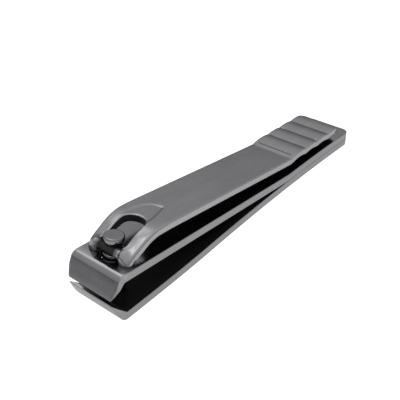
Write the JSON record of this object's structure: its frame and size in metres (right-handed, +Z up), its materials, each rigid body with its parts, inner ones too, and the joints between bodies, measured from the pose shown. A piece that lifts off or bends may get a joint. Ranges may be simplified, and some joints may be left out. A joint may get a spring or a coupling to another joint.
{
  "type": "nail clipper",
  "caption": "Lever nail clipper: spring steel jaws joined at the tail, a notched post through them and a swing-over thumb lever lying in its stored position.",
  "frame": {"origin": "on the table plane under the middle of the clipper", "axes": "+Z up, +X along the clipper from the cutting edges to the tail, +Y to the left seen from the cutting edges"},
  "size_m": [0.0876, 0.013, 0.015],
  "materials": {
    "jaw_steel": "brushed along the sides, satin on the flat faces",
    "post_steel": "turned satin steel",
    "lever_steel": "fine satin with polished rolled edges"
  },
  "bodies": {
    "jaws": {"lower_jaw": "jaw_steel", "upper_jaw_root": "jaw_steel"},
    "spring_jaw": {"upper_jaw": "jaw_steel"},
    "post": {"post": "post_steel"},
    "lever": {"lever": "lever_steel"}
  },
  "joints": [
    {"name": "jaw_close", "type": "hinge", "parent": "jaws", "child": "spring_jaw", "pos_m": [0.0148, 0, 0.00279], "axis": [0, -1, 0], "range_deg": [0, 1.12], "stiffness_Nm_per_rad": 100},
    {"name": "post_swivel", "type": "hinge", "parent": "jaws", "child": "post", "pos_m": [-0.03663, 0, 0.01048], "axis": [0.1137, 0, 0.9935], "continuous": true},
    {"name": "lever_flip", "type": "hinge", "parent": "post", "child": "lever", "pos_m": [-0.0379, 0, 0.01254], "axis": [0, -1, 0], "range_deg": [0, 168]}
  ]
}
